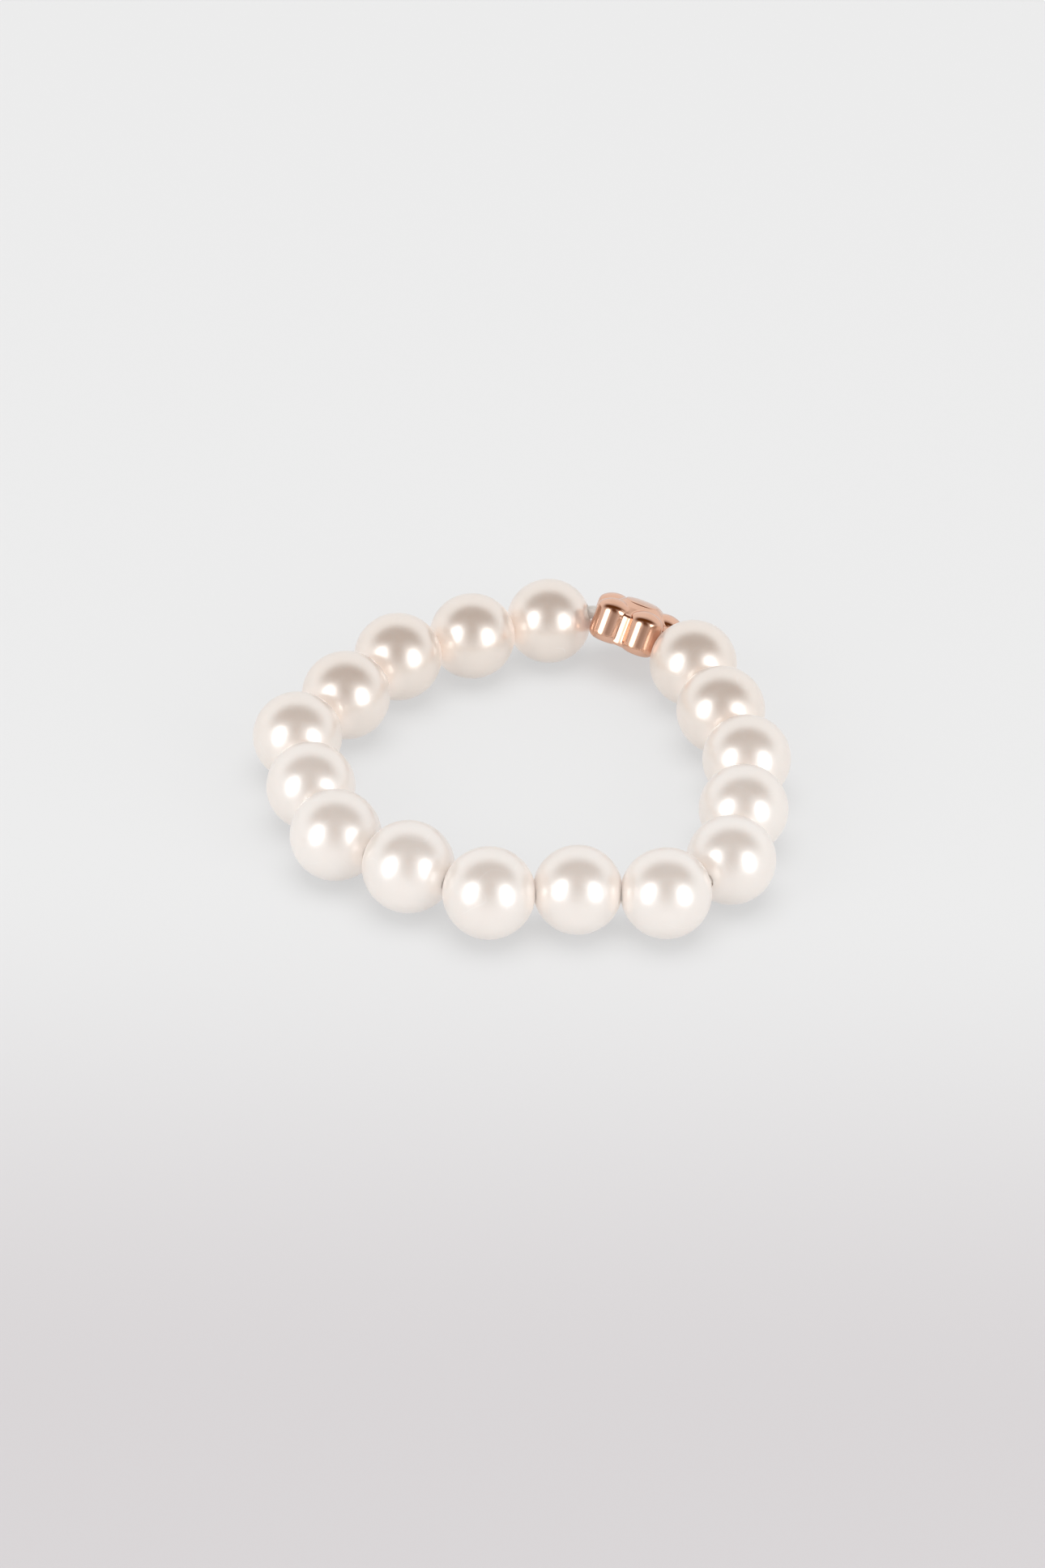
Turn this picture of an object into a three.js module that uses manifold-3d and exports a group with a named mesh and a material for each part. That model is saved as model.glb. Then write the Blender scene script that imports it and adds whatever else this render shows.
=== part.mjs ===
// A finger ring of round pearls and one five-petalled flower bead, strung on an elastic cord.
// It lies on its side. Millimetres, +Z up, origin under the middle of the ring.
import * as THREE from 'three';
import { mergeVertices } from 'three/addons/utils/BufferGeometryUtils.js';
import Module from 'manifold-3d';

const wasm = await Module();
wasm.setup();

// Driving dimensions of the pearls
const PEARL_DIAMETER = 4.0;
const PEARL_PITCH = 0.972;        // centre distance of two neighbours, as a share of their mean diameter
const BEAD_GAP = 0.1;             // clear space between the flats of two pearls
const PEARL_SIDES = 16;
const PEARL_BANDS = 11;           // rings of faces from one drilled end to the other

// Driving dimensions of the elastic cord
const CORD_DIAMETER = 0.6;
const CORD_CLEARANCE = 0.2;       // from the cord to the wall of a drilled hole, all round
const CORD_SIDES = 8;
const CORD_STEPS = 72;
const CORD_END_GAP = 0.4;         // between the cord's two ends inside the flower bead

// Driving dimensions of the flower bead
const PETAL_COUNT = 5;
const PETAL_DIAMETER = 1.7;
const PETAL_CIRCLE = 2.76;        // diameter of the circle through the petals' centres
const FLOWER_THICKNESS = 2.04;    // from the back to the crowns of the petals
const PETAL_EDGE = 0.4;           // radius of a petal's rounded edges
const PETAL_DOME = 39;            // degrees that a petal's domed face slopes where its edge begins
const PETAL_SIDES = 18;
const PETAL_GAP = 0.06;           // clear space between a petal and the pearl beside it
const HUB_DIAMETER = 3.44;        // of the round body that shows between the petals
const HUB_INSET = 0.08;           // of its back from the backs of the petals
const HUB_DROP = 0.42;            // from a petal's crown down to the rim of the body's top
const HUB_RISE = 0.4;             // of the body's top from its rim to the round centre
const HUB_EDGE = 0.15;            // radius of the body's rounded edges
const HUB_SIDES = 40;
const CENTRE_DIAMETER = 1.66;
const CENTRE_RISE = 0.17;         // of the round centre's crown above the crowns of the petals
const CENTRE_EDGE = 0.1;
const CENTRE_DOME = 9;            // degrees that its face slopes where its edge begins

// How the flower bead sits in the string
const FLOWER_LEAN = 29;           // degrees that its face leans out from straight up
const FLOWER_ROLL = 8;            // degrees that it dips towards the first pearl
const FLOWER_RISE = 0.78;         // of its middle above the pearls' centres, along its own axis

// Each pearl's diameter as a share of PEARL_DIAMETER, going clockwise from the flower bead
const PEARL_SHARES = [
  1.005, 1.01, 0.995, 0.995, 0.985, 0.995, 0.975, 1.01,
  1.015, 1.01, 0.99, 1.005, 1.01, 1.01, 0.99, 0.98,
];

// The string's route as it lies, seen from above: the point near each pearl, then the flower bead
const LOOP_ROUTE = [
  [7.7, 7.1], [8.9, 3.4], [10.0, -0.3], [9.8, -4.2],
  [9.2, -8.0], [6.4, -10.6], [2.5, -10.5], [-1.3, -11.0],
  [-4.8, -9.3], [-8.1, -7.1], [-9.4, -3.4], [-10.2, 0.4],
  [-8.2, 3.7], [-5.9, 7.0], [-2.6, 8.9], [1.0, 10.4], [4.9, 10.1],
];

// How finely the curves are cut into facets, and how places on the route are searched for
const EDGE_STEPS = 2;
const DOME_STEPS = 2;
const WELD_DISTANCE = 1e-4;       // corners nearer to each other than this are one corner
const SEARCH_HALVINGS = 40;
const HALF_WAY_ROUND = 0.5;       // of the whole route, within which the next pearl lies
const ROUTE_SCALES = [0.5, 2];    // smallest and largest scale that the route may be drawn at

const UP = new THREE.Vector3(0, 0, 1);
const PETAL_STEP = 2 * Math.PI / PETAL_COUNT;
const radians = THREE.MathUtils.degToRad;
const petalRadius = PETAL_DIAMETER / 2;
const petalReach = PETAL_CIRCLE / 2;
const hubRadius = HUB_DIAMETER / 2;
const boreRadius = CORD_DIAMETER / 2 + CORD_CLEARANCE;
const pearlRadii = PEARL_SHARES.map((share) => share * PEARL_DIAMETER / 2);

const pearlFinish = new THREE.MeshStandardMaterial({ color: 0xefe6dc, roughness: 0.25, metalness: 0.0 });
const goldFinish = new THREE.MeshStandardMaterial({ color: 0xd99a78, roughness: 0.15, metalness: 1.0 });
const cordFinish = new THREE.MeshStandardMaterial({ color: 0xf2f0ec, roughness: 0.5, metalness: 0.0 });

// A closed geometry as a solid that can be joined and cut
function solidOf(geometry) {
  const bare = geometry.clone();
  bare.deleteAttribute('normal');
  bare.deleteAttribute('uv');
  const merged = mergeVertices(bare, WELD_DISTANCE);
  const corners = merged.index.array;
  const faces = [];
  for (let i = 0; i < corners.length; i += 3) {
    const [a, b, c] = [corners[i], corners[i + 1], corners[i + 2]];
    if (a !== b && b !== c && c !== a) faces.push(a, b, c);
  }
  return new wasm.Manifold(new wasm.Mesh({
    numProp: 3,
    vertProperties: new Float32Array(merged.attributes.position.array),
    triVerts: new Uint32Array(faces),
  }));
}

function geometryOf(solid) {
  const mesh = solid.getMesh();
  const geometry = new THREE.BufferGeometry();
  geometry.setAttribute('position', new THREE.BufferAttribute(mesh.vertProperties, 3));
  geometry.setIndex(new THREE.BufferAttribute(mesh.triVerts, 1));
  geometry.computeVertexNormals();
  return geometry;
}

function placedMesh(name, geometry, material, matrix) {
  const mesh = new THREE.Mesh(geometry, material);
  mesh.name = name;
  mesh.applyMatrix4(matrix);
  return mesh;
}

function polar(distance, angle) {
  return new THREE.Vector2(distance * Math.cos(angle), distance * Math.sin(angle));
}

function arc(centre, radius, from, to, steps) {
  const points = [];
  for (let i = 0; i <= steps; i += 1) {
    points.push(polar(radius, from + (to - from) * i / steps).add(centre));
  }
  return points;
}

// A turned shape about +Z from its profile of (radius, height) points
function turned(profile, sides) {
  return new THREE.LatheGeometry(profile, sides).rotateX(Math.PI / 2);
}

function tube(route, radius) {
  const section = new THREE.Shape();
  section.absarc(0, 0, radius, 0, 2 * Math.PI);
  return new THREE.ExtrudeGeometry(section, {
    steps: CORD_STEPS,
    curveSegments: CORD_SIDES / 2,
    bevelEnabled: false,
    extrudePath: route,
  });
}

// The largest value between two others that still passes a test, found by halving
function lastPassing(low, high, passes) {
  let near = low;
  let far = high;
  for (let k = 0; k < SEARCH_HALVINGS; k += 1) {
    const middle = (near + far) / 2;
    if (passes(middle)) near = middle;
    else far = middle;
  }
  return near;
}

// Distance from the flower bead's axis to a pearl that nestles between two petals
function seatDistance(pearlRadius) {
  const side = petalReach * Math.sin(PETAL_STEP / 2);
  const touch = pearlRadius + petalRadius + PETAL_GAP;
  return petalReach * Math.cos(PETAL_STEP / 2) + Math.sqrt(touch * touch - side * side);
}

function pitch(i) {
  return PEARL_PITCH * (pearlRadii[i] + pearlRadii[i + 1]);
}

// Steps along the route from pearl to pearl, with the route drawn at a given scale
function walkRoute(route, scale) {
  const spots = [route.getPoint(0)];
  let here = 0;
  for (let i = 0; i + 1 < pearlRadii.length; i += 1) {
    const reach = pitch(i) / scale;
    const ahead = here + HALF_WAY_ROUND;
    here = lastPassing(here, ahead, (t) => route.getPoint(t).distanceTo(spots[i]) < reach);
    spots.push(route.getPoint(here));
  }
  return spots.map((spot) => spot.multiplyScalar(scale));
}

// The pearls' centres, on a route just so large that the flower bead closes the loop
function pearlCentres(seatChord) {
  const points = LOOP_ROUTE.map(([x, y]) => new THREE.Vector3(x, y, 0));
  const route = new THREE.CatmullRomCurve3(points, true, 'centripetal');
  const opening = (spots) => spots[0].distanceTo(spots.at(-1));
  const [small, large] = ROUTE_SCALES;
  const scale = lastPassing(small, large, (size) => opening(walkRoute(route, size)) < seatChord);
  return walkRoute(route, scale).map((spot, i) => spot.setZ(pearlRadii[i]));
}

// The flower bead's place between the last pearl and the first
function flowerPlace(first, last, seat) {
  const chord = first.clone().sub(last).normalize();
  const inward = chord.clone().cross(UP).normalize();
  const along = chord.applyAxisAngle(inward, -radians(FLOWER_ROLL));
  const upright = inward.clone().cross(along);
  const lean = radians(FLOWER_LEAN);
  const face = upright.clone().multiplyScalar(Math.cos(lean)).addScaledVector(inward, -Math.sin(lean));
  const front = along.clone().cross(face);
  const centre = first.clone().add(last).multiplyScalar(0.5);
  centre.addScaledVector(front, -seat * Math.cos(PETAL_STEP)).addScaledVector(face, FLOWER_RISE);
  return new THREE.Matrix4().makeBasis(front, along, face).setPosition(centre);
}

// A place in the flower bead on the line that its hole follows, that far along from the middle
function inFlower(along, flower) {
  return new THREE.Vector3(hubRadius * Math.cos(PETAL_STEP), along, 0).applyMatrix4(flower);
}

// The cord's way: out of the flower bead between two petals, through every pearl, and back into it
function cordRoute(centres, flower) {
  const mouth = hubRadius * Math.sin(PETAL_STEP);
  const end = CORD_END_GAP / 2;
  const way = [inFlower(end, flower), inFlower(mouth, flower)];
  way.push(...centres, inFlower(-mouth, flower), inFlower(-end, flower));
  return new THREE.CatmullRomCurve3(way, false, 'centripetal');
}

// The drilled way for the cord, whole from end to end
function boreSolid(route, flower) {
  const across = CORD_END_GAP + 2 * CORD_DIAMETER;
  const bridge = new THREE.CylinderGeometry(boreRadius, boreRadius, across, 2 * CORD_SIDES);
  const middle = inFlower(0, new THREE.Matrix4());
  bridge.translate(middle.x, middle.y, middle.z).applyMatrix4(flower);
  return solidOf(tube(route, boreRadius)).add(solidOf(bridge));
}

// A drilled ball whose faces touch the true sphere, so that it rests on a flat one
function pearlBall(radius) {
  const half = Math.cos(Math.PI / PEARL_SIDES) * Math.cos(Math.PI / PEARL_BANDS / 2);
  return new THREE.SphereGeometry(radius / half, PEARL_SIDES, PEARL_BANDS, Math.PI / PEARL_SIDES);
}

// A block that takes off what stands past the flat where a neighbour meets the pearl
function flatCutter(radius, centre, neighbour) {
  const towards = neighbour.clone().sub(centre).normalize();
  const flat = PEARL_PITCH * radius - BEAD_GAP / 2;
  const block = new THREE.BoxGeometry(radius, 2 * radius, 2 * radius).translate(flat + radius / 2, 0, 0);
  const turn = new THREE.Quaternion().setFromUnitVectors(new THREE.Vector3(1, 0, 0), towards);
  return block.applyQuaternion(turn).translate(centre.x, centre.y, centre.z);
}

function pearl(i, centres, flowerCentre, bore) {
  const centre = centres[i];
  const before = centres[i - 1] ?? flowerCentre;
  const after = centres[i + 1] ?? flowerCentre;
  const drilled = after.clone().sub(before).setZ(0).normalize();
  const place = new THREE.Matrix4().makeBasis(drilled.clone().cross(UP), drilled, UP).setPosition(centre);
  let solid = solidOf(pearlBall(pearlRadii[i]).applyMatrix4(place)).subtract(bore);
  for (const neighbour of [centres[i - 1], centres[i + 1]]) {
    if (neighbour) solid = solid.subtract(solidOf(flatCutter(pearlRadii[i], centre, neighbour)));
  }
  const geometry = geometryOf(solid).applyMatrix4(place.clone().invert());
  return placedMesh(`pearl_${String(i + 1).padStart(2, '0')}`, geometry, pearlFinish, place);
}

// Profile of a round puck's top: a rounded edge that runs on into a domed face, up to the crown
function domedTop(radius, edge, slope, crown) {
  const inner = radius - edge;
  const domeRadius = (inner + edge * Math.sin(slope)) / Math.sin(slope);
  const drop = domeRadius * (1 - Math.cos(slope)) + edge * Math.cos(slope);
  const rim = Math.PI / 2 - slope;
  return [
    ...arc(new THREE.Vector2(inner, crown - drop), edge, 0, rim, EDGE_STEPS),
    ...arc(new THREE.Vector2(0, crown - domeRadius), domeRadius, rim, Math.PI / 2, DOME_STEPS).slice(1),
  ];
}

// One petal: a puck with rounded edges and a gently domed face
function petalBlank() {
  const crown = FLOWER_THICKNESS / 2;
  const lowerEdge = new THREE.Vector2(petalRadius - PETAL_EDGE, PETAL_EDGE - crown);
  return turned([
    new THREE.Vector2(0, -crown),
    ...arc(lowerEdge, PETAL_EDGE, -Math.PI / 2, 0, EDGE_STEPS),
    ...domedTop(petalRadius, PETAL_EDGE, radians(PETAL_DOME), crown),
  ], PETAL_SIDES);
}

// The round body that joins the petals and shows between them, with a top that rises to the centre
function hubBlank() {
  const low = HUB_INSET - FLOWER_THICKNESS / 2;
  const high = FLOWER_THICKNESS / 2 - HUB_DROP;
  const inner = hubRadius - HUB_EDGE;
  return turned([
    new THREE.Vector2(0, low),
    ...arc(new THREE.Vector2(inner, low + HUB_EDGE), HUB_EDGE, -Math.PI / 2, 0, EDGE_STEPS),
    ...arc(new THREE.Vector2(inner, high - HUB_EDGE), HUB_EDGE, 0, Math.PI / 2, EDGE_STEPS),
    new THREE.Vector2(CENTRE_DIAMETER / 2, high + HUB_RISE),
    new THREE.Vector2(0, high + HUB_RISE),
  ], HUB_SIDES);
}

// The raised round centre
function centreBlank() {
  const radius = CENTRE_DIAMETER / 2;
  const crown = FLOWER_THICKNESS / 2 + CENTRE_RISE;
  return turned([
    new THREE.Vector2(0, 0),
    new THREE.Vector2(radius, 0),
    ...domedTop(radius, CENTRE_EDGE, radians(CENTRE_DOME), crown),
  ], PETAL_SIDES);
}

function flowerBead(place, bore) {
  let solid = solidOf(hubBlank()).add(solidOf(centreBlank()));
  const petal = petalBlank();
  for (let k = 0; k < PETAL_COUNT; k += 1) {
    solid = solid.add(solidOf(petal.clone().translate(petalReach, 0, 0).rotateZ((k + 0.5) * PETAL_STEP)));
  }
  const inverse = place.clone().invert();
  const drilled = solid.subtract(solidOf(geometryOf(bore).applyMatrix4(inverse)));
  return placedMesh('flower_bead', geometryOf(drilled), goldFinish, place);
}

// The whole ring, moved so that the middle of its box stands over the origin
function flowerRing() {
  const seat = seatDistance(Math.max(pearlRadii[0], pearlRadii.at(-1)));
  const centres = pearlCentres(2 * seat * Math.sin(PETAL_STEP));
  const flower = flowerPlace(centres[0], centres.at(-1), seat);
  const flowerCentre = new THREE.Vector3().setFromMatrixPosition(flower);
  const route = cordRoute(centres, flower);
  const bore = boreSolid(route, flower);
  const ring = new THREE.Group();
  for (let i = 0; i < centres.length; i += 1) ring.add(pearl(i, centres, flowerCentre, bore));
  ring.add(flowerBead(flower, bore));
  ring.add(placedMesh('elastic_cord', tube(route, CORD_DIAMETER / 2), cordFinish, new THREE.Matrix4()));
  const box = new THREE.Box3().setFromObject(ring, true);
  const middle = box.getCenter(new THREE.Vector3());
  ring.position.set(-middle.x, -middle.y, -box.min.z);
  return ring;
}

const group = new THREE.Group();
group.add(flowerRing());
export default group;
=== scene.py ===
# A finger ring of cream pearls and one rose gold flower bead on clear elastic, lying on its side.
# Pieces are modelled in millimetres in the ring's own frame, and are scaled to metres when finished.
import math
import bpy
from mathutils import Matrix, Vector


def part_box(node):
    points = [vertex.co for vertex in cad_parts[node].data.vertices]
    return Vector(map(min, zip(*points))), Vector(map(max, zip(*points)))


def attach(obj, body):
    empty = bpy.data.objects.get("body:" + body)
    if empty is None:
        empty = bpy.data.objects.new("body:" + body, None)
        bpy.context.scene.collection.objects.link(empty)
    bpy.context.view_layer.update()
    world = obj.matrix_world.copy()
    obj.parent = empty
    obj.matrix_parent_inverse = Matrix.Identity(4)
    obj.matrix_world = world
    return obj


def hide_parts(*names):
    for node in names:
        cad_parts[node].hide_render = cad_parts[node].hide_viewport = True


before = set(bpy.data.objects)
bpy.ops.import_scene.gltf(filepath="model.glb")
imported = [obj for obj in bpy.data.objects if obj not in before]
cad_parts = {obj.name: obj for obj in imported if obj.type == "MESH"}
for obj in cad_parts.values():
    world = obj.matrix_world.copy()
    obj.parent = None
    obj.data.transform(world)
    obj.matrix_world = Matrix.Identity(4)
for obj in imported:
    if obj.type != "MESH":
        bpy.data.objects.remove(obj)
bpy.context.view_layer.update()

MM = 0.001

# The camera, in millimetres and degrees
PHOTO_HEIGHT = 1935.0             # picture height in pixels
SENSOR_HEIGHT = 36.0
CAMERA_CLIP = (0.01, 4.0)         # metres between which the camera sees
FOCAL_PIXELS = 6290.0             # focal length in those pixels
CAMERA_DISTANCE = 230.0
CAMERA_ELEVATION = 35.49
CAMERA_ROLL = 1.54
CAMERA_TARGET = Vector((0.088, 0.326, 0.0))  # where it looks

# The pearls
PEARL_COUNT = 16
PEARL_PITCH = 0.972               # centre distance of two neighbours, as a share of their mean diameter
SEAM_GAP = 0.012                  # between the flats of two neighbours
SEAM_EDGE = 0.03                  # width of the worn edge round a flat
SEAM_EDGE_STEPS = 2
BALL_CUTS = 31                    # along each edge of the cube that a ball starts from
BALL_WAVE = 0.006                 # unevenness of a ball, as a share of its radius
BALL_WAVE_SIZE = 0.9              # its length, as a share of the radius
BALL_SPIN = (2.4, 1.1)            # radians about Z and X from one pearl to the next
FOOT_HEIGHT = 0.002               # corners below this height belong to the facet that a pearl rests on

# The elastic
CORD_DIAMETER = 0.6
BORE_DIAMETER = 0.8
CORD_END_GAP = 0.4                # between its two ends inside the flower bead
CORD_ROUNDNESS = 4
CORD_STEPS = 10                   # from one point of its route to the next

# The flower bead
PETAL_COUNT = 5
PETAL_DIAMETER = 1.7
PETAL_CIRCLE = 2.76               # diameter of the circle through the petals' centres
FLOWER_THICKNESS = 2.04           # from the back to the crowns of the petals
PETAL_EDGE = 0.4                  # radius of a petal's rounded edges
PETAL_DOME = 39.0                 # degrees that a petal's face slopes where its edge begins
PETAL_GAP = 0.06                  # between a petal and the pearl beside it
HUB_DIAMETER = 3.44               # of the round body that shows between the petals
HUB_INSET = 0.08                  # of its back from the backs of the petals
HUB_DROP = 0.42                   # from a petal's crown down to the rim of the body's top
HUB_RISE = 0.48                   # of the body's top from its rim to the round centre
HUB_SHOULDER = (0.42, 0.30)       # how far in from the rim its slope eases, and how high it is there
HUB_EDGE = 0.15                   # radius of its rounded rims
CENTRE_DIAMETER = 1.66
CENTRE_RISE = 0.17                # of the round centre's crown above the crowns of the petals
CENTRE_EDGE = 0.1                 # radius of its rounded edge
CENTRE_DOME = 9.0                 # degrees that its face slopes where its edge begins
FLOWER_LEAN = 29.0                # degrees that its face leans out from straight up
FLOWER_ROLL = 8.0                 # degrees that it dips towards the first pearl
FLOWER_RISE = 0.78                # of its middle above the pearls' centres, along its own axis
TURN_STEPS = 64                   # of a full turn
EDGE_STEPS = 8                    # of a petal's or the centre's rounded edge
DOME_STEPS = 12                   # of a domed face
HUB_EDGE_STEPS = 6
CAST_GRAIN = 0.03                 # how finely the cast shape is meshed
POLISH_ROUNDS = 6                 # how often its edges are softened
POLISH_SHARE = 0.5                # how far each round evens them out

# The meshes
DOUBLES = 0.0005                  # corners nearer to each other than this are one corner
PEARL_CREASE = math.radians(20)   # faces that meet at less than this are shaded as one surface
FLOWER_CREASE = math.radians(40)

# The pearls' finish
PALE_CREAM = (0.83, 0.775, 0.725, 1)
# painted shade: the pearls at the back, towards the flower bead, get this warmer, darker cream; the
# random cloudiness also blends towards it
WARM_SHADED_CREAM = (0.81, 0.725, 0.65, 1)
PAINTED_SHADE_SIDE = (-8.0, 9.0)           # millimetres towards the flower bead, over which painted shade turns the cream warmer and darker
CLOUD_SCALE = 0.35                # of the cloudiness in the cream
CLOUD_WARMTH = 0.25               # how much warmer it makes the cream
PEARL_MARKS = {"Line Scale": 0.3, "Line Width": 0.004, "Speck Scale": 2.0}
MARK_CREAM = (0.95, 0.92, 0.89, 1)
MARK_SHARE = 0.3                  # how much of that colour a mark shows
PEARL_ROUGHNESS = (0.276, 0.296)  # of the clear and the cloudy cream
PEARL_MIRROR = (0.10, 0.35)       # how metallic the pale and the warm cream look
PEARL_INDEX = 2.3                 # index of refraction of the pearl coat
SKIN_WEIGHT = 0.20                # the thin clear skin over it
SKIN_ROUGHNESS = 0.12
DEPTH_WEIGHT = 0.8                # share of the light that passes below the surface
DEPTH_TINT = (1.0, 0.9, 0.85)
DEPTH_REACH = 0.0006              # metres that this light goes
SHEEN_WEIGHT = 0.22
SHEEN_ROUGHNESS = 0.35
SHEEN_TINT = (1.0, 0.96, 0.97, 1)
PAINTED_CORE_GLOW = (0.03, 0.026, 0.025, 1)  # painted glow, emitted all over a pearl, in place of light that comes through it
PAINTED_SEAM_GLOW = (0.17, 0.15, 0.14, 1) # painted glow, emitted where pearls meet, in place of light that passes from pearl to pearl
SEAM_REACH = (0.62, 0.94)         # cosines of the angles to a neighbour between which it grows
FRONT_PAINTED_GLOW = 0.50                 # share of the painted seam glow at the front, where more light falls in

# The other finishes
ROSE_GOLD = (0.79, 0.49, 0.36, 1)
DEEP_ROSE_GOLD = (0.75, 0.45, 0.32, 1)
GOLD_PATCH_SCALE = 0.9
GOLD_MARKS = {"Line Scale": 1.5, "Line Width": 0.004, "Speck Scale": 4.0}
GOLD_ROUGHNESS = (0.10, 0.14)
GOLD_MARK_ROUGHNESS = 0.1         # how much rougher a mark is
GOLD_MARK_DEPTH = 0.000002        # metres
ELASTIC_PALE = (0.86, 0.84, 0.80, 1)
ELASTIC_DEEP = (0.80, 0.77, 0.72, 1)
ELASTIC_PATCH_SCALE = 2.0
ELASTIC_MARKS = {"Line Scale": 3.0, "Line Width": 0.02, "Speck Scale": 8.0}
ELASTIC_ROUGHNESS = (0.35, 0.50)
ELASTIC_MARK_DEPTH = 0.00001      # metres
MARK_PATCH_SCALE = 0.9            # of the patches that have hairlines
MARK_PATCHES = (0.5, 0.6)         # values of the pattern between which they fade in
SPECK_RADIUS = (0.10, 0.05)       # from its rim to where it is full, as a share of the specks' spacing
SPECK_PATCH_SCALE = 2.1           # of the patches that have specks
SPECK_PATCHES = (0.58, 0.64)
DRIFT_RANGE = (0.3, 0.7)          # values of the pattern between which a slow change runs

# The studio, in metres
SOFTBOX_SIZE = (0.50, 0.80)
SOFTBOX_DISTANCE = 0.9            # from the ring
LEFT_SOFTBOX = Vector((-0.725, -0.56, 0.40))
RIGHT_SOFTBOX = Vector((0.715, -0.61, 0.34))
SOFTBOX_RADIANCE = 2.6
ROOM_SIDES = 0.84                 # brightness of the walls
ROOM_BACK = 0.97
ROOM_TURN = (-0.2, 0.6)           # how far back the side walls turn into the back wall
ROOM_FILL = 0.78                  # the even light that the whole room gives
ROOM_SEEN = 0.80                  # what a camera sees past the floor
DIM_CEILING = (0.13, 0.05, 0.01)  # the unlit ceiling and stand, a dim warm brown, as gloss shows them
CEILING_REACH = (0.78, 0.58)      # how far out on a ball its reflection fades, in radii
CEILING_FRONT = (0.02, 0.40)      # from a ball's middle line up, where it grows
CEILING_WIDTH = (0.86, 0.33)      # out to the sides, where it ends
STAND_BAND = (-0.50, 0.10)        # from where to where the stand's reflection grows
STAND_WIDTH = (0.28, 0.06)
STAND_SHARE = 0.95                # how dark it is beside the ceiling
FLOOR_SIZE = 3.0
FLOOR_DROP = 0.00001              # below the ring, so that the two never share a plane
FLOOR_BACK = (0.20, 0.20, 0.20, 1)  # the floor's shade behind the ring, and the darker painted shade in front of it
FLOOR_FRONT_PAINTED_SHADE = (0.165, 0.159, 0.161, 1)
FLOOR_SHADE_FADE = (-42.0, -6.0)        # millimetres over which the painted shade turns it darker towards the front
FLOOR_GLOW = 2.56                 # light that the pale floor passes on from below
FLOOR_ROUGHNESS = 0.9
FLOOR_GLOSS = 0.1
FLOOR_LIGHT_SIZE = 0.9
FLOOR_LIGHT_HEIGHT = 0.9
FLOOR_LIGHT_RADIANCE = 3.3

PETAL_STEP = 2 * math.pi / PETAL_COUNT
petal_radius = PETAL_DIAMETER / 2
petal_reach = PETAL_CIRCLE / 2
hub_radius = HUB_DIAMETER / 2


# Tools of the bench

def deselect():
    bpy.ops.object.select_all(action="DESELECT")


def only(obj):
    deselect()
    obj.select_set(True)
    bpy.context.view_layer.objects.active = obj
    return obj


def named(name):
    piece = bpy.context.active_object
    piece.name = name
    piece.data.name = name
    return only(piece)


def edit_all():
    bpy.ops.object.mode_set(mode="EDIT")
    bpy.ops.mesh.select_mode(type="VERT")
    bpy.ops.mesh.select_all(action="SELECT")


def leave_edit():
    bpy.ops.object.mode_set(mode="OBJECT")


def modify(piece, kind, **settings):
    only(piece)
    bpy.ops.object.modifier_add(type=kind)
    modifier = piece.modifiers[-1]
    for key, value in settings.items():
        setattr(modifier, key, value)
    bpy.ops.object.modifier_apply(modifier=modifier.name)


def put(piece, place):
    only(piece)
    piece.matrix_world = place
    bpy.ops.object.transform_apply(location=True, rotation=True, scale=True)


def copy_of(piece, name):
    only(piece)
    bpy.ops.object.duplicate(linked=False)
    return named(name)


def discard(*pieces):
    deselect()
    for piece in pieces:
        piece.select_set(True)
    bpy.ops.object.delete()


def drawn_line(name, points):
    """One vertex that is pulled out from point to point into a line, left in edit mode."""
    bpy.ops.mesh.primitive_plane_add(size=1)
    line = named(name)
    edit_all()
    bpy.ops.mesh.merge(type="CENTER")
    bpy.ops.transform.translate(value=points[0])
    for here, there in zip(points, points[1:]):
        bpy.ops.mesh.extrude_region_move(TRANSFORM_OT_translate={"value": there - here})
    return line


def close_up():
    """Merges the doubles of the mesh in edit mode and turns its faces outwards."""
    bpy.ops.mesh.select_all(action="SELECT")
    bpy.ops.mesh.remove_doubles(threshold=DOUBLES)
    bpy.ops.mesh.normals_make_consistent(inside=False)


def turned(name, profile):
    """A closed shape turned about +Z from its profile of (radius, height) points."""
    piece = drawn_line(name, [Vector((radius, 0, height)) for radius, height in profile])
    bpy.ops.mesh.select_all(action="SELECT")
    bpy.ops.mesh.spin(steps=TURN_STEPS, angle=2 * math.pi, center=(0, 0, 0), axis=(0, 0, 1))
    close_up()
    leave_edit()
    return piece


def arc(centre, radius, start, end, steps):
    points = []
    for k in range(steps + 1):
        angle = start + (end - start) * k / steps
        points.append((centre[0] + radius * math.cos(angle), centre[1] + radius * math.sin(angle)))
    return points


def finished(piece, material, node):
    """The piece in metres, in its material, in place of its CAD node."""
    put(piece, Matrix.Scale(MM, 4))
    piece.data.materials.clear()
    piece.data.materials.append(material)
    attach(piece, "root")
    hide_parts(node)


# Camera, lights and floor

def photo_camera():
    bpy.ops.object.camera_add()
    camera = bpy.context.active_object
    camera.name = "photo_camera"
    camera.data.sensor_width = SENSOR_HEIGHT
    camera.data.lens = FOCAL_PIXELS / PHOTO_HEIGHT * SENSOR_HEIGHT
    camera.data.clip_start, camera.data.clip_end = CAMERA_CLIP
    elevation = math.radians(CAMERA_ELEVATION)
    forward = Vector((0, math.cos(elevation), -math.sin(elevation)))
    eye = (CAMERA_TARGET - forward * CAMERA_DISTANCE) * MM
    tilt = Matrix.Rotation(math.pi / 2 - elevation, 4, "X")
    roll = Matrix.Rotation(math.radians(CAMERA_ROLL), 4, "Z")
    camera.matrix_world = Matrix.Translation(eye) @ tilt @ roll
    bpy.context.scene.camera = camera


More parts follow.
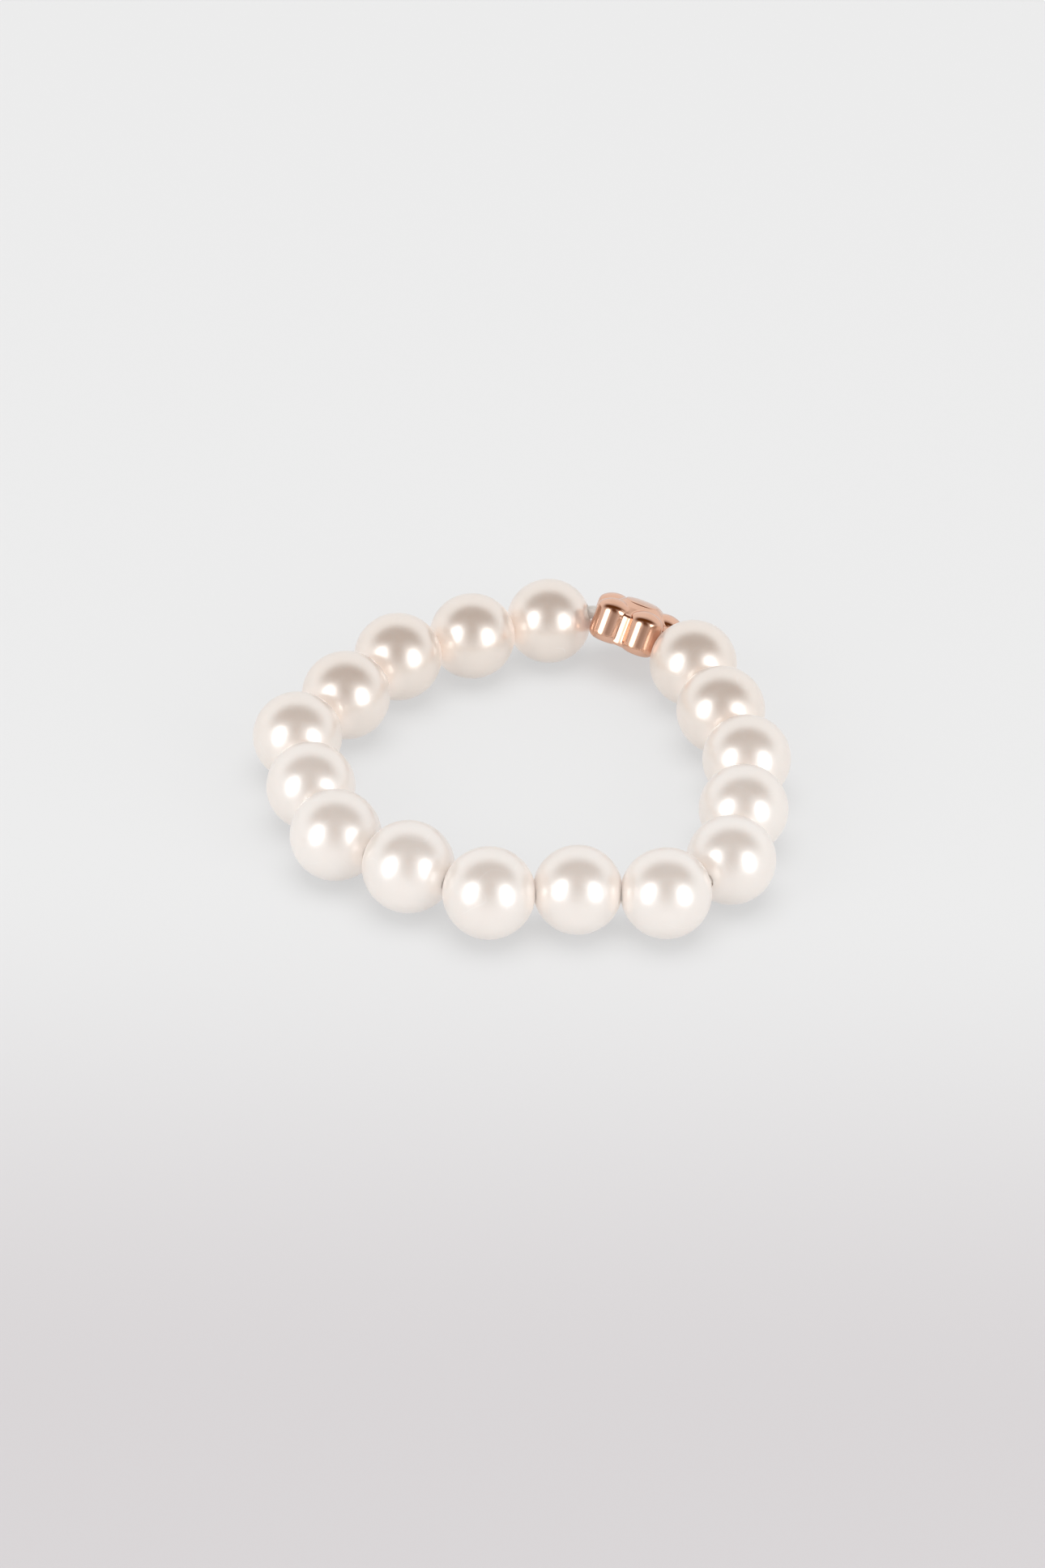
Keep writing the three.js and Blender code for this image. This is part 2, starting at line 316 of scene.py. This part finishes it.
def softbox(name, direction):
    bpy.ops.object.light_add(type="AREA")
    light = bpy.context.active_object
    light.name = name
    width, height = SOFTBOX_SIZE
    light.data.shape = "ELLIPSE"
    light.data.size = width
    light.data.size_y = height
    light.data.energy = SOFTBOX_RADIANCE * math.pi * width * height * math.pi / 4
    turn = direction.to_track_quat("Z", "Y").to_matrix().to_4x4()
    light.matrix_world = Matrix.Translation(direction.normalized() * SOFTBOX_DISTANCE) @ turn
    light.visible_camera = False


def overhead_light(floor):
    """A round light that falls on the floor alone, so that the beads' shadows stay close to them."""
    bpy.ops.object.light_add(type="AREA", location=(0, 0, FLOOR_LIGHT_HEIGHT))
    light = bpy.context.active_object
    light.name = "overhead_light"
    light.data.shape = "DISK"
    light.data.size = FLOOR_LIGHT_SIZE
    light.data.energy = FLOOR_LIGHT_RADIANCE * math.pi * math.pi / 4 * FLOOR_LIGHT_SIZE ** 2
    light.visible_camera = False
    light.visible_glossy = False
    lit = bpy.data.collections.new("lit_from_overhead")
    lit.objects.link(floor)
    light.light_linking.receiver_collection = lit


def dot_with(tree, vector, axis):
    node = add_node(tree, "ShaderNodeVectorMath", operation="DOT_PRODUCT")
    tree.links.new(vector, node.inputs[0])
    node.inputs[1].default_value = axis
    return node.outputs["Value"]


def studio_room():
    """Pale walls, brightest behind the ring, under a dim ceiling with the stand that hangs from it."""
    world = bpy.data.worlds.new("studio_room")
    world.use_nodes = True
    bpy.context.scene.world = world
    tree = world.node_tree
    room = tree.nodes["Background"]
    direction = add_node(tree, "ShaderNodeTexCoord").outputs["Generated"]
    elevation = math.radians(CAMERA_ELEVATION)
    towards_front = (0, -math.cos(elevation), math.sin(elevation))
    halfway = add_node(tree, "ShaderNodeVectorMath", operation="ADD")
    tree.links.new(direction, halfway.inputs[0])
    halfway.inputs[1].default_value = towards_front
    facing = add_node(tree, "ShaderNodeVectorMath", operation="NORMALIZE")
    tree.links.new(halfway.outputs["Vector"], facing.inputs[0])
    height = dot_with(tree, facing.outputs["Vector"], (0, math.sin(elevation), math.cos(elevation)))
    side = dot_with(tree, facing.outputs["Vector"], (1, 0, 0))
    across = calculate(tree, "ABSOLUTE", side)
    squares = calculate(tree, "ADD", calculate(tree, "MULTIPLY", side, side),
                        calculate(tree, "MULTIPLY", height, height))
    reach = calculate(tree, "SQRT", squares)
    ceiling = calculate(tree, "MULTIPLY", smooth_range(tree, reach, *CEILING_REACH),
                        smooth_range(tree, height, *CEILING_FRONT))
    ceiling = calculate(tree, "MULTIPLY", ceiling, smooth_range(tree, across, *CEILING_WIDTH))
    stand = calculate(tree, "MULTIPLY", smooth_range(tree, height, *STAND_BAND),
                      smooth_range(tree, across, *STAND_WIDTH))
    stand = calculate(tree, "MULTIPLY", stand, smooth_range(tree, reach, *CEILING_REACH))
    stand = calculate(tree, "MULTIPLY", stand, STAND_SHARE)
    dim = calculate(tree, "MAXIMUM", ceiling, stand)
    behind = smooth_range(tree, dot_with(tree, direction, (0, 1, 0)), *ROOM_TURN)
    walls = blend_values(tree, behind, ROOM_SIDES, ROOM_BACK)
    pale = blend_colours(tree, walls, (0, 0, 0, 1), (1, 1, 1, 1))
    light = blend_colours(tree, dim, pale, (*DIM_CEILING, 1))
    path = add_node(tree, "ShaderNodeLightPath").outputs
    light = blend_colours(tree, path["Is Glossy Ray"], (ROOM_FILL, ROOM_FILL, ROOM_FILL, 1), light)
    light = blend_colours(tree, path["Is Camera Ray"], light, (ROOM_SEEN, ROOM_SEEN, ROOM_SEEN, 1))
    tree.links.new(light, room.inputs["Color"])


def studio_floor(material):
    bpy.ops.mesh.primitive_plane_add(size=FLOOR_SIZE, location=(0, 0, -FLOOR_DROP))
    floor = named("studio_floor")
    floor.data.materials.append(material)
    return floor


# Small helpers for node trees

def add_node(tree, kind, **settings):
    node = tree.nodes.new(kind)
    for key, value in settings.items():
        setattr(node, key, value)
    return node


def feed(tree, socket, value):
    if isinstance(value, bpy.types.NodeSocket):
        tree.links.new(value, socket)
    else:
        socket.default_value = value


def calculate(tree, operation, *values):
    node = add_node(tree, "ShaderNodeMath", operation=operation)
    for socket, value in zip(node.inputs, values):
        feed(tree, socket, value)
    return node.outputs["Value"]


def smooth_range(tree, value, low, high):
    """0 at low and 1 at high, with a soft start and end."""
    node = add_node(tree, "ShaderNodeMapRange", interpolation_type="SMOOTHSTEP")
    feed(tree, node.inputs["Value"], value)
    node.inputs["From Min"].default_value = low
    node.inputs["From Max"].default_value = high
    return node.outputs["Result"]


def blend_values(tree, factor, first, second):
    node = add_node(tree, "ShaderNodeMix", data_type="FLOAT")
    feed(tree, node.inputs["Factor"], factor)
    feed(tree, node.inputs["A"], first)
    feed(tree, node.inputs["B"], second)
    return node.outputs["Result"]


def blend_colours(tree, factor, first, second):
    node = add_node(tree, "ShaderNodeMix", data_type="RGBA")
    colours = [socket for socket in node.inputs if socket.type == "RGBA"]
    feed(tree, node.inputs["Factor"], factor)
    feed(tree, colours[0], first)
    feed(tree, colours[1], second)
    return [socket for socket in node.outputs if socket.type == "RGBA"][0]


def millimetres(tree):
    """The piece's own coordinates, in millimetres."""
    place = add_node(tree, "ShaderNodeTexCoord").outputs["Object"]
    scaled = add_node(tree, "ShaderNodeVectorMath", operation="SCALE")
    tree.links.new(place, scaled.inputs["Vector"])
    scaled.inputs["Scale"].default_value = 1 / MM
    return scaled.outputs["Vector"]


def noise(tree, vector, scale, detail=2.0, roughness=0.5):
    node = add_node(tree, "ShaderNodeTexNoise")
    tree.links.new(vector, node.inputs["Vector"])
    feed(tree, node.inputs["Scale"], scale)
    node.inputs["Detail"].default_value = detail
    node.inputs["Roughness"].default_value = roughness
    return node.outputs["Fac"]


def new_material(name):
    material = bpy.data.materials.new(name)
    material.use_nodes = True
    tree = material.node_tree
    return material, tree, tree.nodes["Principled BSDF"]


def place_group(tree, group, **values):
    node = add_node(tree, "ShaderNodeGroup")
    node.node_tree = group
    for key, value in values.items():
        feed(tree, node.inputs[key], value)
    return node


# Effects that several finishes share

def handling_marks_group():
    """Fine hairlines and specks that handling leaves on a polished surface, as a mask and a height."""
    group = bpy.data.node_groups.new("handling_marks", "ShaderNodeTree")
    face = group.interface
    face.new_socket("Place", in_out="INPUT", socket_type="NodeSocketVector")
    face.new_socket("Line Scale", in_out="INPUT", socket_type="NodeSocketFloat")
    face.new_socket("Line Width", in_out="INPUT", socket_type="NodeSocketFloat")
    face.new_socket("Speck Scale", in_out="INPUT", socket_type="NodeSocketFloat")
    face.new_socket("Mask", in_out="OUTPUT", socket_type="NodeSocketFloat")
    face.new_socket("Height", in_out="OUTPUT", socket_type="NodeSocketFloat")
    given = group.nodes.new("NodeGroupInput").outputs
    result = group.nodes.new("NodeGroupOutput").inputs
    field = noise(group, given["Place"], given["Line Scale"], detail=1.0)
    away = calculate(group, "ABSOLUTE", calculate(group, "SUBTRACT", field, 0.5))
    line = calculate(group, "SUBTRACT", 1.0, calculate(group, "DIVIDE", away, given["Line Width"]))
    line = calculate(group, "MAXIMUM", line, 0.0)
    patches = noise(group, given["Place"], MARK_PATCH_SCALE, detail=1.0)
    present = smooth_range(group, patches, *MARK_PATCHES)
    line = calculate(group, "MULTIPLY", line, present)
    cells = add_node(group, "ShaderNodeTexVoronoi")
    group.links.new(given["Place"], cells.inputs["Vector"])
    group.links.new(given["Speck Scale"], cells.inputs["Scale"])
    speck = smooth_range(group, cells.outputs["Distance"], *SPECK_RADIUS)
    patches = noise(group, given["Place"], SPECK_PATCH_SCALE, detail=0.0)
    chosen = smooth_range(group, patches, *SPECK_PATCHES)
    speck = calculate(group, "MULTIPLY", speck, chosen)
    mask = calculate(group, "MAXIMUM", line, speck)
    group.links.new(mask, result["Mask"])
    group.links.new(calculate(group, "MULTIPLY", mask, -1.0), result["Height"])
    return group


def drift_group():
    """A slow change over the surface from 0 to 1, such as a coat a little thicker here and there."""
    group = bpy.data.node_groups.new("slow_drift", "ShaderNodeTree")
    face = group.interface
    face.new_socket("Place", in_out="INPUT", socket_type="NodeSocketVector")
    face.new_socket("Scale", in_out="INPUT", socket_type="NodeSocketFloat")
    face.new_socket("Value", in_out="OUTPUT", socket_type="NodeSocketFloat")
    given = group.nodes.new("NodeGroupInput").outputs
    result = group.nodes.new("NodeGroupOutput").inputs
    field = noise(group, given["Place"], given["Scale"], detail=2.0)
    group.links.new(smooth_range(group, field, *DRIFT_RANGE), result["Value"])
    return group


def add_bump(tree, shader, height, depth):
    bump = add_node(tree, "ShaderNodeBump")
    bump.inputs["Strength"].default_value = 1.0
    bump.inputs["Distance"].default_value = depth
    tree.links.new(height, bump.inputs["Height"])
    tree.links.new(bump.outputs["Normal"], shader.inputs["Normal"])


# Finishes

def pearl_finish(marks, drift):
    """Cream pearl coat: a soft deep lustre under a thin clear skin, with painted shade that makes it
    warmer and darker towards the flower bead, and a painted glow that lifts the shade where pearls meet.
    """
    material, tree, shader = new_material("cream_pearl")
    place = millimetres(tree)
    cloud = place_group(tree, drift, Place=place, Scale=CLOUD_SCALE).outputs["Value"]
    scratch = place_group(tree, marks, Place=place, **PEARL_MARKS)
    parts = add_node(tree, "ShaderNodeSeparateXYZ")
    tree.links.new(place, parts.inputs["Vector"])
    # Painted shade: the cream turns warmer and darker towards the flower bead, on top of its random
    # cloudiness.
    shade_and_cloud_warmth = smooth_range(tree, parts.outputs["Y"], *PAINTED_SHADE_SIDE)
    shade_and_cloud_warmth = calculate(tree, "ADD", shade_and_cloud_warmth, calculate(tree, "MULTIPLY", cloud, CLOUD_WARMTH))
    colour = blend_colours(tree, shade_and_cloud_warmth, PALE_CREAM, WARM_SHADED_CREAM)
    worn = calculate(tree, "MULTIPLY", scratch.outputs["Mask"], MARK_SHARE)
    colour = blend_colours(tree, worn, colour, MARK_CREAM)
    tree.links.new(colour, shader.inputs["Base Color"])
    tree.links.new(blend_values(tree, cloud, *PEARL_ROUGHNESS), shader.inputs["Roughness"])
    tree.links.new(blend_values(tree, shade_and_cloud_warmth, *PEARL_MIRROR), shader.inputs["Metallic"])
    shader.inputs["IOR"].default_value = PEARL_INDEX
    shader.inputs["Specular IOR Level"].default_value = 1.0
    shader.inputs["Coat Weight"].default_value = SKIN_WEIGHT
    shader.inputs["Coat Roughness"].default_value = SKIN_ROUGHNESS
    shader.inputs["Subsurface Weight"].default_value = DEPTH_WEIGHT
    shader.inputs["Subsurface Radius"].default_value = DEPTH_TINT
    shader.inputs["Subsurface Scale"].default_value = DEPTH_REACH
    # Painted glow: emitted light over each pearl, strongest where it meets a neighbour, which lifts the
    # shade between the pearls.
    near = add_node(tree, "ShaderNodeAttribute", attribute_name="nearness").outputs["Fac"]
    glow = calculate(tree, "MULTIPLY", smooth_range(tree, near, *SEAM_REACH),
                     blend_values(tree, shade_and_cloud_warmth, FRONT_PAINTED_GLOW, 1.0))
    tree.links.new(blend_colours(tree, glow, PAINTED_CORE_GLOW, PAINTED_SEAM_GLOW), shader.inputs["Emission Color"])
    shader.inputs["Emission Strength"].default_value = 1.0
    shader.inputs["Sheen Weight"].default_value = SHEEN_WEIGHT
    shader.inputs["Sheen Roughness"].default_value = SHEEN_ROUGHNESS
    shader.inputs["Sheen Tint"].default_value = SHEEN_TINT
    return material


def rose_gold_finish(marks, drift):
    """Polished rose gold plate with a few handling marks."""
    material, tree, shader = new_material("polished_rose_gold")
    place = millimetres(tree)
    patch = place_group(tree, drift, Place=place, Scale=GOLD_PATCH_SCALE).outputs["Value"]
    scratch = place_group(tree, marks, Place=place, **GOLD_MARKS)
    colour = blend_colours(tree, patch, ROSE_GOLD, DEEP_ROSE_GOLD)
    tree.links.new(colour, shader.inputs["Base Color"])
    worn = calculate(tree, "MULTIPLY", scratch.outputs["Mask"], GOLD_MARK_ROUGHNESS)
    roughness = calculate(tree, "ADD", blend_values(tree, patch, *GOLD_ROUGHNESS), worn)
    tree.links.new(roughness, shader.inputs["Roughness"])
    shader.inputs["Metallic"].default_value = 1.0
    add_bump(tree, shader, scratch.outputs["Height"], GOLD_MARK_DEPTH)
    return material


def elastic_finish(marks, drift):
    """Whitish elastic thread with faint marks."""
    material, tree, shader = new_material("whitish_elastic")
    place = millimetres(tree)
    patch = place_group(tree, drift, Place=place, Scale=ELASTIC_PATCH_SCALE).outputs["Value"]
    scratch = place_group(tree, marks, Place=place, **ELASTIC_MARKS)
    colour = blend_colours(tree, patch, ELASTIC_PALE, ELASTIC_DEEP)
    tree.links.new(colour, shader.inputs["Base Color"])
    tree.links.new(blend_values(tree, patch, *ELASTIC_ROUGHNESS), shader.inputs["Roughness"])
    add_bump(tree, shader, scratch.outputs["Height"], ELASTIC_MARK_DEPTH)
    return material


def floor_finish():
    """A plain pale sweep, darker towards the front as painted shade."""
    material, tree, shader = new_material("pale_floor")
    parts = add_node(tree, "ShaderNodeSeparateXYZ")
    tree.links.new(millimetres(tree), parts.inputs["Vector"])
    # Painted shade: the floor darkens towards the front, and its glow darkens with it.
    depth = smooth_range(tree, parts.outputs["Y"], *FLOOR_SHADE_FADE)
    tone = blend_colours(tree, depth, FLOOR_FRONT_PAINTED_SHADE, FLOOR_BACK)
    tree.links.new(tone, shader.inputs["Base Color"])
    tree.links.new(tone, shader.inputs["Emission Color"])
    shader.inputs["Emission Strength"].default_value = FLOOR_GLOW
    shader.inputs["Roughness"].default_value = FLOOR_ROUGHNESS
    shader.inputs["Specular IOR Level"].default_value = FLOOR_GLOSS
    return material


# The string's layout, from the frame

def node_name(i):
    return f"pearl_{i + 1:02d}"


def pearl_ball_place(i):
    """Centre and radius of a pearl: its centre stands over the middle of the facet that it rests on."""
    low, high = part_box(node_name(i))
    radius = high.z / 2 / MM
    corners = [v.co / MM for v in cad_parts[node_name(i)].data.vertices]
    foot = [corner for corner in corners if corner.z < FOOT_HEIGHT]
    x = (min(c.x for c in foot) + max(c.x for c in foot)) / 2
    y = (min(c.y for c in foot) + max(c.y for c in foot)) / 2
    return Vector((x, y, radius)), radius


def flower_place(first, last, seat):
    """Where the flower bead sits between the last pearl and the first: front, along and face axes."""
    chord = (first - last).normalized()
    inward = chord.cross(Vector((0, 0, 1))).normalized()
    along = Matrix.Rotation(-math.radians(FLOWER_ROLL), 3, inward) @ chord
    upright = inward.cross(along)
    lean = math.radians(FLOWER_LEAN)
    face = upright * math.cos(lean) - inward * math.sin(lean)
    front = along.cross(face)
    centre = (first + last) / 2 - front * seat * math.cos(PETAL_STEP) + face * FLOWER_RISE
    turn = Matrix((front, along, face)).transposed().to_4x4()
    return Matrix.Translation(centre) @ turn


def seat_distance(pearl_radius):
    """From the flower bead's axis to a pearl that nestles between two petals."""
    side = petal_reach * math.sin(PETAL_STEP / 2)
    touch = pearl_radius + petal_radius + PETAL_GAP
    return petal_reach * math.cos(PETAL_STEP / 2) + math.sqrt(touch * touch - side * side)


# Pieces

def threaded(name, points, diameter, closed):
    """A round thread through these points."""
    thread = drawn_line(name, points)
    leave_edit()
    bpy.ops.object.convert(target="CURVE")
    bpy.ops.object.mode_set(mode="EDIT")
    bpy.ops.curve.select_all(action="SELECT")
    bpy.ops.curve.spline_type_set(type="BEZIER")
    bpy.ops.curve.handle_type_set(type="AUTOMATIC")
    if closed:
        bpy.ops.curve.cyclic_toggle()
    leave_edit()
    thread.data.resolution_u = CORD_STEPS
    thread.data.bevel_depth = diameter / 2
    thread.data.bevel_resolution = CORD_ROUNDNESS
    thread.data.use_fill_caps = True
    bpy.ops.object.convert(target="MESH")
    piece = named(name)
    edit_all()
    close_up()
    leave_edit()
    return piece


def ball_master():
    """A ball of radius 1 with a slight unevenness, started from a cube."""
    bpy.ops.mesh.primitive_cube_add(size=2)
    ball = named("ball_master")
    edit_all()
    bpy.ops.mesh.subdivide(number_cuts=BALL_CUTS)
    bpy.ops.transform.tosphere(value=1.0)
    leave_edit()
    radius = ball.dimensions.x / 2
    put(ball, Matrix.Scale(1 / radius, 4))
    waves = bpy.data.textures.new("ball_waves", "CLOUDS")
    waves.noise_scale = BALL_WAVE_SIZE
    waves.noise_depth = 0
    modify(ball, "DISPLACE", texture=waves, strength=BALL_WAVE, mid_level=0.5)
    return ball


def cut_flat(centre, radius, neighbour):
    """Takes off what stands past the flat towards a neighbour and softens the flat's edge."""
    towards = (neighbour - centre).normalized()
    spot = centre + towards * (PEARL_PITCH * radius - SEAM_GAP / 2)
    bpy.ops.mesh.select_all(action="SELECT")
    bpy.ops.mesh.bisect(plane_co=spot, plane_no=towards, use_fill=True, clear_outer=True)
    bpy.ops.mesh.remove_doubles(threshold=SEAM_EDGE, use_unselected=True)
    bpy.ops.mesh.bevel(offset=SEAM_EDGE, segments=SEAM_EDGE_STEPS, affect="EDGES")


# Its values mask the painted seam glow of the pearls.
def note_nearness(piece, centre, neighbours):
    """Gives each corner the cosine of its angle to the nearest neighbour, seen from the middle."""
    nearness = piece.data.attributes.new("nearness", "FLOAT", "POINT")
    directions = [(neighbour - centre).normalized() for neighbour in neighbours]
    for corner in piece.data.vertices:
        outward = (corner.co - centre).normalized()
        nearness.data[corner.index].value = max(outward.dot(direction) for direction in directions)


def cream_pearl(i, places, flower_centre, master, bore):
    """A copy of the ball in its place, cut flat towards its neighbours and drilled."""
    centre, radius = places[i]
    piece = copy_of(master, f"cream_pearl_{i + 1:02d}")
    spin = Matrix.Rotation(BALL_SPIN[0] * i, 4, "Z") @ Matrix.Rotation(BALL_SPIN[1] * i, 4, "X")
    put(piece, Matrix.Translation(centre) @ spin @ Matrix.Scale(radius, 4))
    edit_all()
    for k in (i - 1, i + 1):
        if 0 <= k < PEARL_COUNT:
            cut_flat(centre, radius, places[k][0])
    close_up()
    leave_edit()
    modify(piece, "BOOLEAN", object=bore, operation="DIFFERENCE", solver="MANIFOLD")
    only(piece)
    bpy.ops.object.shade_smooth_by_angle(angle=PEARL_CREASE)
    neighbours = [places[k][0] if 0 <= k < PEARL_COUNT else flower_centre for k in (i - 1, i + 1)]
    note_nearness(piece, centre, neighbours)
    return piece


def domed_top(radius, edge, slope, crown):
    """Profile of a round top: a rounded edge that runs on into a domed face, up to the crown."""
    inner = radius - edge
    dome_radius = (inner + edge * math.sin(slope)) / math.sin(slope)
    drop = dome_radius * (1 - math.cos(slope)) + edge * math.cos(slope)
    rim = math.pi / 2 - slope
    rounded = arc((inner, crown - drop), edge, 0, rim, EDGE_STEPS)
    domed = arc((0, crown - dome_radius), dome_radius, rim, math.pi / 2, DOME_STEPS)
    return rounded + domed[1:]


def petal():
    """A puck with rounded edges and a gently domed face."""
    crown = FLOWER_THICKNESS / 2
    lower = arc((petal_radius - PETAL_EDGE, PETAL_EDGE - crown), PETAL_EDGE, -math.pi / 2, 0, EDGE_STEPS)
    top = domed_top(petal_radius, PETAL_EDGE, math.radians(PETAL_DOME), crown)
    return turned("petal", [(0, -crown)] + lower + top)


def raised_centre():
    """The raised round middle of the flower."""
    radius = CENTRE_DIAMETER / 2
    crown = FLOWER_THICKNESS / 2 + CENTRE_RISE
    top = domed_top(radius, CENTRE_EDGE, math.radians(CENTRE_DOME), crown)
    return turned("raised_centre", [(0, 0), (radius, 0)] + top)


def hub():
    """The round body that joins the petals and shows between them, its top rising to the centre."""
    low = HUB_INSET - FLOWER_THICKNESS / 2
    high = FLOWER_THICKNESS / 2 - HUB_DROP
    inner = hub_radius - HUB_EDGE
    back = arc((inner, low + HUB_EDGE), HUB_EDGE, -math.pi / 2, 0, HUB_EDGE_STEPS)
    face = arc((inner, high - HUB_EDGE), HUB_EDGE, 0, math.pi / 2, HUB_EDGE_STEPS)
    shoulder = (inner - HUB_SHOULDER[0], high + HUB_SHOULDER[1])
    rise = [shoulder, (CENTRE_DIAMETER / 2, high + HUB_RISE), (0, high + HUB_RISE)]
    return turned("hub", [(0, low)] + back + face + rise)


def rose_gold_flower(place, bore):
    """Five petals round a raised middle, cast in one and polished."""
    blank = petal()
    parts = [hub()]
    for k in range(PETAL_COUNT):
        part = copy_of(blank, f"petal_{k + 1}")
        turn = Matrix.Rotation((k + 0.5) * PETAL_STEP, 4, "Z")
        put(part, turn @ Matrix.Translation((petal_reach, 0, 0)))
        parts.append(part)
    discard(blank)
    deselect()
    for part in parts:
        part.select_set(True)
    bpy.context.view_layer.objects.active = parts[0]
    bpy.ops.object.join()
    piece = named("rose_gold_flower")
    modify(piece, "REMESH", mode="VOXEL", voxel_size=CAST_GRAIN)
    modify(piece, "SMOOTH", factor=POLISH_SHARE, iterations=POLISH_ROUNDS)
    middle = raised_centre()
    modify(piece, "BOOLEAN", object=middle, operation="UNION", solver="MANIFOLD")
    discard(middle)
    put(piece, place)
    modify(piece, "BOOLEAN", object=bore, operation="DIFFERENCE", solver="MANIFOLD")
    only(piece)
    bpy.ops.object.shade_smooth_by_angle(angle=FLOWER_CREASE)
    return piece


# The scene

def build_ring(pearl_coat, rose_gold, elastic):
    """The thread, the pearls on it and the flower bead that closes the loop."""
    places = [pearl_ball_place(i) for i in range(PEARL_COUNT)]
    (first, first_radius), (last, last_radius) = places[0], places[-1]
    flower = flower_place(first, last, seat_distance(max(first_radius, last_radius)))
    into = Vector((hub_radius * math.cos(PETAL_STEP), 0, 0))
    reach = Vector((0, hub_radius * math.sin(PETAL_STEP), 0))
    end = Vector((0, CORD_END_GAP / 2, 0))
    centres = [centre for centre, _ in places]
    string = [flower @ (into + reach)] + centres + [flower @ (into - reach)]
    bore = threaded("bore", string, BORE_DIAMETER, closed=True)
    route = [flower @ (into + end)] + string + [flower @ (into - end)]
    thread = threaded("elastic_thread", route, CORD_DIAMETER, closed=False)
    finished(thread, elastic, "elastic_cord")
    master = ball_master()
    for i in range(PEARL_COUNT):
        piece = cream_pearl(i, places, flower.translation, master, bore)
        finished(piece, pearl_coat, node_name(i))
    finished(rose_gold_flower(flower, bore), rose_gold, "flower_bead")
    discard(master, bore)


photo_camera()
softbox("left_softbox", LEFT_SOFTBOX)
softbox("right_softbox", RIGHT_SOFTBOX)
studio_room()
overhead_light(studio_floor(floor_finish()))
marks = handling_marks_group()
drift = drift_group()
build_ring(pearl_finish(marks, drift), rose_gold_finish(marks, drift), elastic_finish(marks, drift))
bpy.context.scene.view_settings.view_transform = "Standard"
